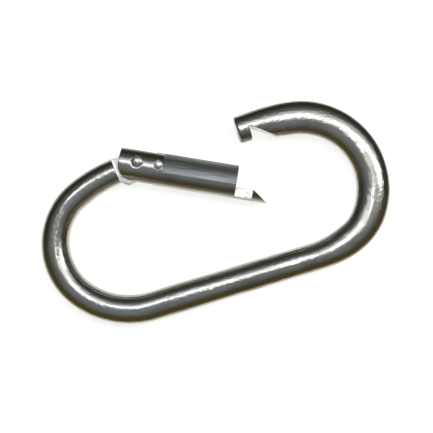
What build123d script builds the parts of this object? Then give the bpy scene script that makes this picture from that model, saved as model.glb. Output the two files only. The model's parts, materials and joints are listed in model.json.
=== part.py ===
"""Stainless spring snap hook, 160 mm size, bent from 13 mm round bar.

The hook lies flat. +X runs along the straight spine towards the large bow, +Y points across the
hook towards the gate and +Z is square to the hook's plane. The origin is under the middle of
the hook, on the surface that it lies on. The gate is modelled partly open, on its pivot.
"""
from build123d import *
import math
import os

os.makedirs("parts", exist_ok=True)

# ---------------------------------------------------------------- bent bar: size and line
SHOULDER_X = -37.3          # where the round bar ends at the hinge
SHOULDER_Y = 30.1
MID_Z = 7.55                # height of the bar's and the gate's common centre plane
SHOULDER_HEADING = 185.5    # direction of the bar as it leaves the shoulder
SMALL_BOW = ((64.0, 18.5), (28.5, 102.5), (36.5, 53.5))                   # (radius, turn)
SPINE_LENGTH = 77.0
LARGE_BOW = ((47.5, 23.5), (24.5, 31.0), (32.5, 115.5), (120.0, 12.5))    # (radius, turn)

# The section is round along the spine and oval in the bows: (width across the bend, depth in Z)
SHOULDER_SECTION = (11.8, 12.4)
SMALL_BOW_SECTIONS = ((12.3, 12.8), (13.0, 13.0), (13.2, 13.0))
SPINE_SECTION = (12.9, 13.0)
LARGE_BOW_SECTIONS = ((14.4, 11.9), (14.9, 11.5), (15.3, 11.2), (12.9, 12.5))
STATION_STEP = 7.0          # rough spacing of the sections along the bar

# ---------------------------------------------------------------- gate, measured along its axis from the pivot
BARREL_R = 7.55
PIVOT_FROM_SHOULDER = (10.4, 0.9)
OPEN_ANGLE = -26.1          # direction of the gate's axis as modelled
SWING_OPEN = 18.0           # further opening from there
SWING_SHUT = 29.5           # closing from there
PIVOT_RISE = 1.45           # pivot stands this far outside the barrel's own axis
GATE_REAR = -8.15
GATE_SHOULDER = 45.5        # square end of the full barrel
GATE_BEAK = 53.3            # start of the beak
GATE_TIP = 60.4
NECK_TOP = -3.75            # top of neck and beak, below the pivot line
BEAK_DROP = 5.0             # the beak's slant falls by this much from start to tip
NECK_THICKNESS = 4.8
HEEL_R = 6.5                # rounded lower rear corner of the cheeks
HEEL_Y = -8.5               # underside of the cheeks at the heel, below the pivot line
FORK_END = 8.1              # floor of the fork slot
FORK_WIDTH = 5.3
BORE_R = 4.05               # bore for plunger and spring
BORE_END = 36.0
DRILL_TIP = 2.3
EDGE = 0.4                  # broken edges of the gate and plunger

# ---------------------------------------------------------------- hinge and spring
TANG_THICKNESS = 5.0
TANG_BULGE = (-6.8, -8.8)   # lowest corner of the spread tang, from the pivot
TANG_ROOT = 2.0             # the tang reaches this far into the round bar
TANG_LOW = 0.4              # its lower root stands this far inside the bar's underside
TANG_FOOT = 0.6
TANG_CORNER = 1.2
CAM_POINTS = 9
CAM_SPARE = 1.5             # the cam carries on this many degrees past the open limit
CAM_BASE = 3.0              # base circle of the tang's involute end
CAM_REACH = 6.2             # pivot to plunger face with the gate as modelled
CAM_GAP = 0.03              # clearance between the tang's end and the plunger
RIVET_R = 2.5
RIVET_FIT = 0.05            # running clearance of the tang on the rivet
RIVET_TOP = 7.50            # half length over the domed heads
RIVET_RIM = 7.22            # half length at the edge of the heads
RIVET_SINK = 0.45           # the gate is sunk round the rivet's ends by this much
PIN_AT = 9.75               # plunger pin, along the gate
PIN_R = 1.5
PIN_HEAD_R = 2.1
PIN_HEAD = 1.4              # depth of the plunger pin's heads
PIN_EDGE = 0.25
PLUNGER_R = 4.0
PLUNGER_LENGTH = 9.4
SPIGOT_R = 2.2
SPIGOT_LENGTH = 4.0
PIN_SLOT = (1.0, 6.75)      # ends of the plunger's slot, behind its face
PIN_SLOT_R = 1.55
WIRE_R = 0.7
SPRING_R = 3.2
SPRING_TURNS = 8.0
SPRING_GAP = 0.03           # the spring's ends stand this far off their seats

# ---------------------------------------------------------------- nose
TAB_WALL = 52.8             # tab's back wall, along X from the pivot
NOTCH_DEPTH = 0.9           # deepest corner of the notch, from the pivot
NOTCH_FLAT = 0.5
NOTCH_LENGTH = 11.4         # the slanted floor ends this far behind the wall
NOTCH_DROP = 8.2
NOSE_SLOT_WIDTH = 5.4
NOSE_SLOT_TOP = -0.2        # roof of the nose slot, from the pivot
TAB_CORNER = 1.6
NOSE_EDGE = 0.7
REACH = 20.0                # cutters reach this far past what they cut

pivot_x = SHOULDER_X + PIVOT_FROM_SHOULDER[0]
pivot_y = SHOULDER_Y + PIVOT_FROM_SHOULDER[1]
pivot = Vector(pivot_x, pivot_y, MID_Z)
shut_angle = OPEN_ANGLE + SWING_SHUT
tang_r = CAM_REACH - CAM_GAP - CAM_BASE * math.radians(SWING_SHUT)
wide_angle = OPEN_ANGLE - SWING_OPEN
hook_plane = Plane(origin=pivot, x_dir=(1, 0, 0), z_dir=(0, 0, 1))
gate_plane = hook_plane.rotated((0, 0, OPEN_ANGLE))


def across_gate(along: float) -> Plane:
    """Plane square to the barrel's axis; its local Y is the hook's Z."""
    start = gate_plane.from_local_coords(Vector(along, -PIVOT_RISE, 0))
    return Plane(origin=start, x_dir=gate_plane.y_dir, z_dir=gate_plane.x_dir)


def blend(first: tuple, second: tuple, share: float) -> tuple:
    """Section between two sections."""
    return tuple(a + (b - a) * share for a, b in zip(first, second))


def cam_point(gate_angle: float) -> Vector:
    """Where the tang's end meets the plunger's face at one direction of the gate."""
    turn = math.radians(gate_angle)
    reach = CAM_REACH - CAM_GAP - CAM_BASE * math.radians(gate_angle - OPEN_ANGLE)
    along = Vector(math.cos(turn), math.sin(turn), 0)
    across = Vector(-math.sin(turn), math.cos(turn), 0)
    return along * reach - across * CAM_BASE


# ================================================================ hook body
with BuildLine() as bar_line:
    heading = math.radians(SHOULDER_HEADING)
    point = Vector(SHOULDER_X, SHOULDER_Y, MID_Z)
    direction = Vector(math.cos(heading), math.sin(heading), 0)
    runs = []
    for radius, turn in SMALL_BOW:
        bend = JernArc(start=point, tangent=direction, radius=radius, arc_size=turn)
        point, direction = bend @ 1, bend % 1
        runs.append(bend)
    spine = Line(point, point + direction * SPINE_LENGTH)
    point = spine @ 1
    runs.append(spine)
    for radius, turn in LARGE_BOW:
        bend = JernArc(start=point, tangent=direction, radius=radius, arc_size=turn)
        point, direction = bend @ 1, bend % 1
        runs.append(bend)

run_sections = (SHOULDER_SECTION, *SMALL_BOW_SECTIONS, SPINE_SECTION, *LARGE_BOW_SECTIONS)
nose_tip = runs[-1] @ 1

with BuildPart() as hook_body:
    # Round bar, swelling and flattening as it goes round the bows
    for number, run in enumerate(runs):
        steps = max(2, round(run.length / STATION_STEP))
        first_step = 0 if number == 0 else 1
        for step in range(first_step, steps + 1):
            share = step / steps
            width, depth = blend(run_sections[number], run_sections[number + 1], share)
            square = Plane(origin=run @ share, x_dir=(0, 0, 1), z_dir=run % share)
            with BuildSketch(square):
                Ellipse(depth / 2, width / 2)
    loft()
    end_faces = hook_body.faces().filter_by(GeomType.PLANE)
    nose_face = min(end_faces, key=lambda face: (face.center() - nose_tip).length)
    fillet(nose_face.edges(), NOSE_EDGE)

    # Notch behind the tab: a rounded tab corner, a square wall, then a slanted floor
    tab_low = nose_tip.Y - pivot_y - LARGE_BOW_SECTIONS[-1][0] / 2
    corner_x = TAB_WALL - TAB_CORNER
    corner_y = tab_low + TAB_CORNER
    with BuildSketch(hook_plane):
        with BuildLine():
            Line((corner_x, tab_low - REACH), (corner_x, tab_low))
            CenterArc((corner_x, corner_y), TAB_CORNER, -90, 90)
            Polyline(
                (TAB_WALL, corner_y),
                (TAB_WALL, NOTCH_DEPTH),
                (TAB_WALL + NOTCH_FLAT, NOTCH_DEPTH),
                (TAB_WALL + NOTCH_LENGTH, NOTCH_DEPTH - NOTCH_DROP),
                (TAB_WALL + NOTCH_LENGTH, tab_low - REACH),
                (corner_x, tab_low - REACH),
            )
        make_face()
    extrude(amount=REACH, both=True, mode=Mode.SUBTRACT)

    # Slot for the gate's neck, open at the end and on the inside of the nose
    slot_left = nose_tip.X - pivot_x - REACH / 4
    slot_right = TAB_WALL + REACH / 8
    slot_low = NOSE_SLOT_TOP - REACH
    with BuildSketch(hook_plane):
        with Locations(((slot_left + slot_right) / 2, (slot_low + NOSE_SLOT_TOP) / 2)):
            Rectangle(slot_right - slot_left, NOSE_SLOT_TOP - slot_low)
    extrude(amount=NOSE_SLOT_WIDTH / 2, both=True, mode=Mode.SUBTRACT)

    # Tang: the bar's end spread flat, with an involute end that works the plunger
    cam_step = (wide_angle - CAM_SPARE - shut_angle) / (CAM_POINTS - 1)
    cam = [cam_point(shut_angle + cam_step * number) for number in range(CAM_POINTS)]
    flat_end = Vector(tang_r, 0, 0).rotate(Axis.Z, shut_angle)
    round_mid = Vector(tang_r, 0, 0).rotate(Axis.Z, (shut_angle + 90) / 2)
    in_bar = -PIVOT_FROM_SHOULDER[0] - TANG_ROOT
    shoulder_low = -PIVOT_FROM_SHOULDER[1] - SHOULDER_SECTION[0] / 2 + TANG_LOW
    foot = (-PIVOT_FROM_SHOULDER[0] + TANG_FOOT, shoulder_low)
    with BuildSketch(hook_plane):
        with BuildLine():
            Line((in_bar, tang_r), (0, tang_r))
            ThreePointArc((0, tang_r), round_mid, flat_end)
            Line(flat_end, cam[0])
            Spline(*cam)
            FilletPolyline(cam[-1], TANG_BULGE, foot, (in_bar, shoulder_low), radius=TANG_CORNER)
            Line((in_bar, shoulder_low), (in_bar, tang_r))
        make_face()
    extrude(amount=TANG_THICKNESS / 2, both=True)
    with Locations(hook_plane):
        Hole(radius=RIVET_R + RIVET_FIT, depth=TANG_THICKNESS)
hook_body.part.label = "hook_body"
export_step(hook_body.part, "parts/hook_body.step")


# ================================================================ gate
with BuildPart() as gate:
    with BuildSketch(across_gate(GATE_REAR)):
        Circle(BARREL_R)
    extrude(amount=GATE_TIP - GATE_REAR)
    chamfer(gate.faces().sort_by(Axis.X)[0].edges(), EDGE)

    # Square end, top of the neck and the beak's slant, cut in one profile
    tip_drop = NECK_TOP - BEAK_DROP
    slant = BEAK_DROP / (GATE_TIP - GATE_BEAK)
    with BuildSketch(gate_plane):
        Polygon(
            (GATE_SHOULDER, REACH),
            (GATE_SHOULDER, NECK_TOP),
            (GATE_BEAK, NECK_TOP),
            (GATE_TIP, tip_drop),
            (GATE_TIP + REACH / 4, tip_drop - slant * REACH / 4),
            (GATE_TIP + REACH / 4, REACH),
            align=None,
        )
    extrude(amount=REACH, both=True, mode=Mode.SUBTRACT)

    # Flats each side of the neck
    for side in (-1, 1):
        flat_plane = gate_plane.offset(side * NECK_THICKNESS / 2)
        with BuildSketch(flat_plane):
            with Locations(((GATE_SHOULDER + GATE_BEAK) / 2, NECK_TOP - REACH / 2)):
                Rectangle(GATE_BEAK - GATE_SHOULDER, REACH + 2)
        extrude(amount=side * REACH, mode=Mode.SUBTRACT)

    # Cheeks: rounded heel, and the underside eased away towards it
    heel_x = GATE_REAR + HEEL_R
    with BuildSketch(gate_plane):
        with BuildLine():
            Line((GATE_REAR - REACH, HEEL_Y + HEEL_R), (GATE_REAR, HEEL_Y + HEEL_R))
            CenterArc((heel_x, HEEL_Y + HEEL_R), HEEL_R, 180, 90)
            Polyline(
                (heel_x, HEEL_Y),
                (FORK_END, -PIVOT_RISE - BARREL_R),
                (FORK_END, -REACH),
                (GATE_REAR - REACH, -REACH),
                (GATE_REAR - REACH, HEEL_Y + HEEL_R),
            )
        make_face()
    extrude(amount=REACH, both=True, mode=Mode.SUBTRACT)

    # Fork slot for the tang
    with BuildSketch(gate_plane):
        with Locations(((GATE_REAR - REACH + FORK_END) / 2, 0)):
            Rectangle(FORK_END - GATE_REAR + REACH, 2 * REACH)
    extrude(amount=FORK_WIDTH / 2, both=True, mode=Mode.SUBTRACT)

    # Bore for the plunger and spring, drilled from the hinge end
    with BuildSketch(gate_plane):
        with BuildLine():
            Polyline(
                (GATE_REAR - REACH, -PIVOT_RISE),
                (GATE_REAR - REACH, BORE_R - PIVOT_RISE),
                (BORE_END, BORE_R - PIVOT_RISE),
                (BORE_END + DRILL_TIP, -PIVOT_RISE),
                close=True,
            )
        make_face()
    bore_start = gate_plane.from_local_coords(Vector(0, -PIVOT_RISE, 0))
    revolve(axis=Axis(bore_start, gate_plane.x_dir), mode=Mode.SUBTRACT)

    # Cross holes for the rivet and the plunger pin, opened out under their heads
    with Locations(gate_plane):
        Hole(radius=RIVET_R, depth=2 * BARREL_R)
    with Locations(gate_plane * Pos(PIN_AT, 0, 0)):
        Hole(radius=PIN_R, depth=2 * BARREL_R)
    for side in (-1, 1):
        with BuildSketch(gate_plane.offset(side * RIVET_RIM)):
            Circle(RIVET_R + RIVET_SINK)
        extrude(amount=side * REACH, mode=Mode.SUBTRACT)
        with BuildSketch(gate_plane.offset(side * (RIVET_RIM - PIN_HEAD))):
            with Locations((PIN_AT, 0)):
                Circle(PIN_HEAD_R)
        extrude(amount=side * REACH, mode=Mode.SUBTRACT)
gate.part.label = "gate"
export_step(gate.part, "parts/gate.step")


# ================================================================ rivet and plunger pin
with BuildPart() as pivot_rivet:
    with BuildSketch(hook_plane):
        Circle(RIVET_R)
    extrude(amount=RIVET_TOP, both=True)
    fillet(pivot_rivet.edges().filter_by(GeomType.CIRCLE), RIVET_TOP - RIVET_RIM)
pivot_rivet.part.label = "pivot_rivet"
export_step(pivot_rivet.part, "parts/pivot_rivet.step")

with BuildPart() as plunger_pin:
    pin_foot = gate_plane.from_local_coords(Vector(PIN_AT, 0, 0))
    pin_plane = Plane(origin=pin_foot, x_dir=(1, 0, 0), z_dir=(0, 0, 1))
    with BuildSketch(pin_plane):
        Circle(PIN_R)
    extrude(amount=RIVET_RIM, both=True)
    for side in (-1, 1):
        with BuildSketch(pin_plane.offset(side * (RIVET_RIM - PIN_HEAD))):
            Circle(PIN_HEAD_R)
        extrude(amount=side * PIN_HEAD)
    chamfer(plunger_pin.faces().filter_by(Axis.Z).sort_by(Axis.Z)[0].edges(), PIN_EDGE)
    chamfer(plunger_pin.faces().filter_by(Axis.Z).sort_by(Axis.Z)[-1].edges(), PIN_EDGE)
plunger_pin.part.label = "plunger_pin"
export_step(plunger_pin.part, "parts/plunger_pin.step")


# ================================================================ plunger
with BuildPart() as plunger:
    with BuildSketch(across_gate(CAM_REACH)):
        Circle(PLUNGER_R)
    extrude(amount=PLUNGER_LENGTH)
    chamfer(plunger.edges().filter_by(GeomType.CIRCLE), EDGE)
    with BuildSketch(across_gate(CAM_REACH + PLUNGER_LENGTH)):
        Circle(SPIGOT_R)
    extrude(amount=SPIGOT_LENGTH)
    chamfer(plunger.edges().sort_by(Axis(pivot, gate_plane.x_dir))[-1], EDGE)
    slot_length = PIN_SLOT[1] - PIN_SLOT[0]
    with BuildSketch(gate_plane):
        with Locations((CAM_REACH + (PIN_SLOT[0] + PIN_SLOT[1]) / 2, 0)):
            SlotOverall(slot_length, 2 * PIN_SLOT_R)
    extrude(amount=REACH, both=True, mode=Mode.SUBTRACT)
plunger.part.label = "plunger"
export_step(plunger.part, "parts/plunger.step")


# ================================================================ spring
spring_start = CAM_REACH + PLUNGER_LENGTH + SPRING_GAP
spring_length = BORE_END - SPRING_GAP - spring_start
with BuildPart() as spring:
    coil_plane = across_gate(spring_start)
    pitch = (spring_length - WIRE_R) / SPRING_TURNS
    coil_foot = across_gate(spring_start - pitch / 2).origin
    with BuildLine():
        coil = Helix(pitch=pitch, height=pitch * (SPRING_TURNS + 1), radius=SPRING_R,
                     center=coil_foot, direction=gate_plane.x_dir)
    with BuildSketch(Plane(origin=coil @ 0, z_dir=coil % 0)):
        Circle(WIRE_R)
    sweep()
    # Ground ends
    with BuildSketch(coil_plane):
        Circle(BORE_R)
    extrude(amount=spring_length, mode=Mode.INTERSECT)
spring.part.label = "spring"
export_step(spring.part, "parts/spring.step")

for piece in (hook_body, gate, pivot_rivet, plunger_pin, plunger, spring):
    print(piece.part.label, round(piece.part.volume), "mm3")
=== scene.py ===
"""Looks of a polished stainless spring snap hook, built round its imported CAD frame.

Everything is in metres, in the hook's own frame: +X along the spine, +Y across towards the gate,
+Z square to the hook's flat side. Sizes are given in millimetres and turned to metres by MM.
"""

import json
import logging
import math
from collections.abc import Callable
from dataclasses import dataclass, field
from enum import Enum
from typing import ClassVar

import bmesh
import bpy
from mathutils import Matrix, Vector
from mathutils.kdtree import KDTree


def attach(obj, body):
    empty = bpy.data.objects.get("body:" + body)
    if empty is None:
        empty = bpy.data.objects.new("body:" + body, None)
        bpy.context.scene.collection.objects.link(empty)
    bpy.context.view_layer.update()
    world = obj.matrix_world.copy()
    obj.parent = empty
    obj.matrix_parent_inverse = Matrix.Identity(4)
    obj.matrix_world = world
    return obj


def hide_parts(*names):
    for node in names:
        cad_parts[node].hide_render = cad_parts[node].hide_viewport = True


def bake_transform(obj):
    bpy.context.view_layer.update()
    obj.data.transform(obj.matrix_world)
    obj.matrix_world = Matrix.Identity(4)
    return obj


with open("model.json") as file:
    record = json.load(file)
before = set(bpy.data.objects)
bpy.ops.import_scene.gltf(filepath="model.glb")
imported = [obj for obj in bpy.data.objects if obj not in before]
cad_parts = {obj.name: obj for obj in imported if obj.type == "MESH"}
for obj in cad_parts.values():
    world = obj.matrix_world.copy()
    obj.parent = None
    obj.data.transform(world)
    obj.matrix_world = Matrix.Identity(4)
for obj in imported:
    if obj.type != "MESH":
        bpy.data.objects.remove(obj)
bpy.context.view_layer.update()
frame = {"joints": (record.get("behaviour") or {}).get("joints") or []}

Tree, Node, Socket = bpy.types.NodeTree, bpy.types.Node, bpy.types.NodeSocket
Piece, Mesh, Material = bpy.types.Object, bpy.types.Mesh, bpy.types.Material
Shape, Vert, Edge = bmesh.types.BMesh, bmesh.types.BMVert, bmesh.types.BMEdge
Outline = list[tuple[float, float]]
Measure = Callable[[Vector], Vector]
Facing = Callable[[Vector], Vector | None]

MM = 0.001
GRAIN = "grain"         # attribute: where a point lies along and across its piece's axis
log = logging.getLogger("snap_hook")

# Shading
ON_SKIN = 0.012         # how far off the true surface a point may lie, as a share of its radius
SKIN_TURN = 0.93        # a face turned further from the true surface than this cosine isn't skin
SHARP = 40.0            # edges sharper than this stay sharp in the shading, in degrees

# Breaking the cut edges, and mending the mesh round them
EDGE = 0.22             # width of a broken edge, in millimetres
CUT_ANGLE = 32.0        # edges sharper than this are cut edges, in degrees
EDGE_ROOM = 1.6         # clear room beside a cut edge, in widths of the broken edge
FOLDED = 115.0          # faces meeting more sharply than this are folded slivers, in degrees
CROWDED = 0.02 * MM     # points nearer than this are one point
THIN = 0.005 * MM       # faces thinner than this are dropped after the room is cleared
THINNEST = 0.004 * MM   # and thinner than this after a sliver is closed
CLEAR_ROUNDS = 12
UNFOLD_ROUNDS = 20


# ------------------------------------------------------------------ small tools
def linear(hex_colour: str) -> tuple[float, float, float, float]:
    """Turn an sRGB hex colour to Blender's linear colour.

    Args:
        hex_colour: six hex digits, such as "C9C7C1".

    Returns:
        Red, green, blue and alpha, linear.
    """
    parts = [int(hex_colour[i:i + 2], 16) / 255 for i in (0, 2, 4)]
    shares = [p / 12.92 if p <= 0.04045 else ((p + 0.055) / 1.055) ** 2.4 for p in parts]
    return (*shares, 1.0)


def add_node(tree: Tree, kind: str, settings: dict | None = None,
             links: dict | None = None) -> Node:
    """Add a node with its settings and its incoming links.

    Args:
        tree: the tree that takes the node.
        kind: the node's bl_idname.
        settings: property values, or input values where the key is an input's name or number.
        links: input's name or number to the output socket that feeds it.

    Returns:
        The new node.
    """
    node = tree.nodes.new(kind)
    for key, value in (settings or {}).items():
        if isinstance(key, str) and hasattr(node, key):
            setattr(node, key, value)
        else:
            node.inputs[key].default_value = value
    for key, socket in (links or {}).items():
        tree.links.new(socket, node.inputs[key])
    return node


def object_of(name: str, mesh: Mesh) -> Piece:
    """Put a mesh in the scene as an object at the origin.

    Args:
        name: the object's name.
        mesh: its mesh.

    Returns:
        The object.
    """
    piece = bpy.data.objects.new(name, mesh)
    bpy.context.scene.collection.objects.link(piece)
    return piece


def mesh_of(name: str, shape: Shape) -> Mesh:
    """Finish a bmesh as a mesh whose faces point outwards.

    Args:
        name: the mesh's name.
        shape: the bmesh, which is freed.

    Returns:
        The mesh.
    """
    bmesh.ops.recalc_face_normals(shape, faces=shape.faces[:])
    mesh = bpy.data.meshes.new(name)
    shape.to_mesh(mesh)
    shape.free()
    return mesh


def prism(outline: Outline, low: float, high: float, place: Matrix) -> Shape:
    """Closed straight prism over an outline.

    Args:
        outline: corners in the local XY plane, in millimetres.
        low: local Z of the lower end, in millimetres.
        high: local Z of the upper end, in millimetres.
        place: where the local frame lies, in metres.

    Returns:
        The prism.
    """
    shape = bmesh.new()
    rings = [[shape.verts.new(place @ (Vector((x, y, z)) * MM)) for x, y in outline]
             for z in (low, high)]
    shape.faces.new(rings[0][::-1])
    shape.faces.new(rings[1])
    count = len(outline)
    for i in range(count):
        j = (i + 1) % count
        shape.faces.new((rings[0][i], rings[0][j], rings[1][j], rings[1][i]))
    return shape


def lathe(profile: Outline, segments: int, place: Matrix) -> Shape:
    """Closed turned shape about the local X axis.

    Args:
        profile: (distance along the axis, radius) from one end to the other, in millimetres;
            the ends are closed by flat faces.
        segments: faces round the axis.
        place: where the local frame lies, in metres.

    Returns:
        The turned shape.
    """
    shape = bmesh.new()
    rings = []
    for along, radius in profile:
        ring = []
        for i in range(segments):
            turn = 2 * math.pi * i / segments
            spot = Vector((along, radius * math.cos(turn), radius * math.sin(turn)))
            ring.append(shape.verts.new(place @ (spot * MM)))
        rings.append(ring)
    for first, second in zip(rings, rings[1:]):
        for i in range(segments):
            j = (i + 1) % segments
            shape.faces.new((first[i], first[j], second[j], second[i]))
    shape.faces.new(rings[0][::-1])
    shape.faces.new(rings[-1])
    return shape


def arc(centre: tuple[float, float], radius: float, start: float, sweep: float,
        steps: int) -> Outline:
    """Points round an arc, ends included.

    Args:
        centre: the arc's centre.
        radius: its radius.
        start: its first direction, in degrees.
        sweep: how far it turns, in degrees.
        steps: how many equal steps it takes.

    Returns:
        The points.
    """
    turns = [math.radians(start + sweep * i / steps) for i in range(steps + 1)]
    return [(centre[0] + radius * math.cos(t), centre[1] + radius * math.sin(t)) for t in turns]


def open_tree(name: str, inputs: dict[str, str], output: str) -> tuple[Tree, Node]:
    """Start a Geometry Nodes tree with named inputs.

    Args:
        name: the tree's name.
        inputs: each input's name and its kind, such as Float.
        output: name of the geometry that it gives.

    Returns:
        The tree and its input node.
    """
    tree = bpy.data.node_groups.new(name, "GeometryNodeTree")
    for label, kind in inputs.items():
        tree.interface.new_socket(label, in_out="INPUT", socket_type="NodeSocket" + kind)
    tree.interface.new_socket(output, in_out="OUTPUT", socket_type="NodeSocketGeometry")
    return tree, add_node(tree, "NodeGroupInput")


def close_tree(tree: Tree, geometry: Socket, material: Socket) -> None:
    """End a Geometry Nodes tree: make its instances real and give them their material.

    Args:
        tree: the tree.
        geometry: what it has made.
        material: the material that goes on it.
    """
    real = add_node(tree, "GeometryNodeRealizeInstances", links={0: geometry})
    dressed = add_node(tree, "GeometryNodeSetMaterial",
                       links={"Geometry": real.outputs[0], "Material": material})
    add_node(tree, "NodeGroupOutput", links={0: dressed.outputs[0]})


class Cut(Enum):
    """What a tool shape does to a blank."""

    REMOVE = "DIFFERENCE"
    JOIN = "UNION"


def work(blank: Piece, tools: list[tuple[Cut, Shape]], left: Material) -> None:
    """Cut a blank with tool shapes, one after another.

    Args:
        blank: the object to work.
        tools: what each tool does, and its shape.
        left: the finish that the tools leave.
    """
    for number, (cut, shape) in enumerate(tools):
        tool = object_of(f"tool_{number}", mesh_of(f"tool_{number}", shape))
        tool.data.materials.append(left)
        step = blank.modifiers.new("cut", "BOOLEAN")
        step.operation = cut.value
        step.solver = "EXACT"
        step.material_mode = "TRANSFER"
        step.object = tool
        settle(blank)
        bpy.data.objects.remove(tool)


def settle(piece: Piece) -> None:
    """Replace a piece's mesh by what its modifiers make of it, and drop the modifiers.

    Args:
        piece: the piece.
    """
    bpy.context.view_layer.update()
    graph = bpy.context.evaluated_depsgraph_get()
    done = bpy.data.meshes.new_from_object(piece.evaluated_get(graph))
    piece.modifiers.clear()
    piece.data = done


def grow(piece: Piece, tree: Tree, given: tuple) -> None:
    """Make a piece's mesh with Geometry Nodes, as a plain mesh whose faces point outwards.

    Args:
        piece: the piece that carries the modifier.
        tree: the tree.
        given: values of the tree's inputs after the first, in order.
    """
    grown = piece.modifiers.new("grown", "NODES")
    grown.node_group = tree
    for number, value in enumerate(given, 1):
        grown[f"Socket_{number}"] = value
    settle(piece)
    shape = bmesh.new()
    shape.from_mesh(piece.data)
    bmesh.ops.recalc_face_normals(shape, faces=shape.faces[:])
    shape.to_mesh(piece.data)
    shape.free()


def sharp_edges(shape: Shape, angle: float) -> list[Edge]:
    """Edges of a shape whose faces meet more sharply than an angle in degrees."""
    limit = math.radians(angle)
    return [e for e in shape.edges if len(e.link_faces) == 2 and e.calc_face_angle(0.0) > limit]


def clear_room(shape: Shape, room: float, angle: float) -> None:
    """Draw the points that crowd a sharp edge onto it, so that the edge can be rounded.

    Args:
        shape: the shape, mended in place.
        room: points nearer than this to a sharp edge are drawn in, in millimetres.
        angle: what counts as sharp, in degrees.
    """
    for _ in range(CLEAR_ROUNDS):
        sharp = sharp_edges(shape, angle)
        rank: dict[Vert, int] = {}
        for edge in sharp:
            for vert in edge.verts:
                rank[vert] = rank.get(vert, 0) + 1
        marked = set(sharp)
        moves: dict[Vert, Vert] = {}
        held: set[Vert] = set()
        short = [e for e in shape.edges if e.calc_length() < room * MM
                 and (e.verts[0] in rank or e.verts[1] in rank)]
        for edge in sorted(short, key=lambda e: e.calc_length()):
            first, second = edge.verts
            ranks = [rank.get(v, 0) for v in edge.verts]
            if min(ranks) > (2 if edge in marked else 0):
                continue
            goes, stays = (first, second) if ranks[0] < ranks[1] else (second, first)
            if goes in moves or goes in held or stays in moves:
                continue
            moves[goes] = stays
            held.update((goes, stays))
            held.update(v for e in goes.link_edges for v in e.verts)
        if not moves:
            return
        bmesh.ops.weld_verts(shape, targetmap=moves)
        bmesh.ops.dissolve_degenerate(shape, edges=shape.edges[:], dist=THIN)


def unfold(shape: Shape) -> None:
    """Close up the slivers that lie folded back on their neighbours.

    Args:
        shape: the shape, mended in place.
    """
    for _ in range(UNFOLD_ROUNDS):
        moves: dict[Vert, Vert] = {}
        held: set[Vert] = set()
        for edge in sharp_edges(shape, FOLDED):
            sliver = min(edge.link_faces, key=lambda f: f.calc_area())
            short = min(sliver.edges, key=lambda e: e.calc_length())
            goes, stays = short.verts
            if held.intersection(v for e in goes.link_edges for v in e.verts):
                continue
            moves[goes] = stays
            held.update(v for e in goes.link_edges for v in e.verts)
        if not moves:
            break
        bmesh.ops.weld_verts(shape, targetmap=moves)
        bmesh.ops.dissolve_degenerate(shape, edges=shape.edges[:], dist=THINNEST)
        flaps = [f for f in shape.faces if {1, 3} <= {len(e.link_faces) for e in f.edges}]
        bmesh.ops.delete(shape, geom=flaps, context="FACES")
        loose = [e for e in shape.edges if not e.link_faces]
        bmesh.ops.delete(shape, geom=loose, context="EDGES")
        lonely = [v for v in shape.verts if not v.link_faces]
        bmesh.ops.delete(shape, geom=lonely, context="VERTS")
        bmesh.ops.holes_fill(shape, edges=[e for e in shape.edges if len(e.link_faces) == 1])
    bmesh.ops.recalc_face_normals(shape, faces=shape.faces[:])


def break_edges(piece: Piece) -> None:
    """Round a piece's proud cut edges.

    Args:
        piece: the piece.
    """
    shape = bmesh.new()
    shape.from_mesh(piece.data)
    bmesh.ops.remove_doubles(shape, verts=shape.verts[:], dist=CROWDED)
    bmesh.ops.dissolve_degenerate(shape, edges=shape.edges[:], dist=CROWDED / 2)
    clear_room(shape, EDGE_ROOM * EDGE, CUT_ANGLE)
    proud = [e for e in sharp_edges(shape, CUT_ANGLE) if e.is_convex]
    # The new faces take the piece's first material slot
    bmesh.ops.bevel(shape, geom=proud, offset=EDGE * MM, segments=2,
                    profile=0.5, affect="EDGES", clamp_overlap=False)
    bmesh.ops.triangulate(shape, faces=[f for f in shape.faces if len(f.verts) > 4])
    unfold(shape)
    shape.to_mesh(piece.data)
    shape.free()


def shade(piece: Piece) -> None:
    """Smooth a piece's faces, with its flats kept flat.

    Args:
        piece: the piece.
    """
    mesh = piece.data
    mesh.polygons.foreach_set("use_smooth", [True] * len(mesh.polygons))
    mesh.set_sharp_from_angle(angle=math.radians(SHARP))
    weigh = piece.modifiers.new("weigh", "WEIGHTED_NORMAL")
    weigh.keep_sharp = True
    weigh.weight = 50
    settle(piece)


def true_normals(piece: Piece, rule: Facing) -> None:
    """Shade the skin of a piece as the true surface that its faces stand for.

    Args:
        piece: the piece. Only the faces in its first slot are shaded so: the whole skin of
            the gate, and of the bar, whose first slot is empty, only the rounded edges.
        rule: the outward direction of the true surface at a point, or None off the skin.
    """
    mesh = piece.data
    found = [rule(vertex.co) for vertex in mesh.vertices]
    normals = [corner.vector.copy() for corner in mesh.corner_normals]
    for face in mesh.polygons:
        if face.material_index:
            continue
        for corner in face.loop_indices:
            known = found[mesh.loops[corner].vertex_index]
            if known and known.dot(face.normal) > SKIN_TURN:
                normals[corner] = known
    mesh.normals_split_custom_set(normals)


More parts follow.
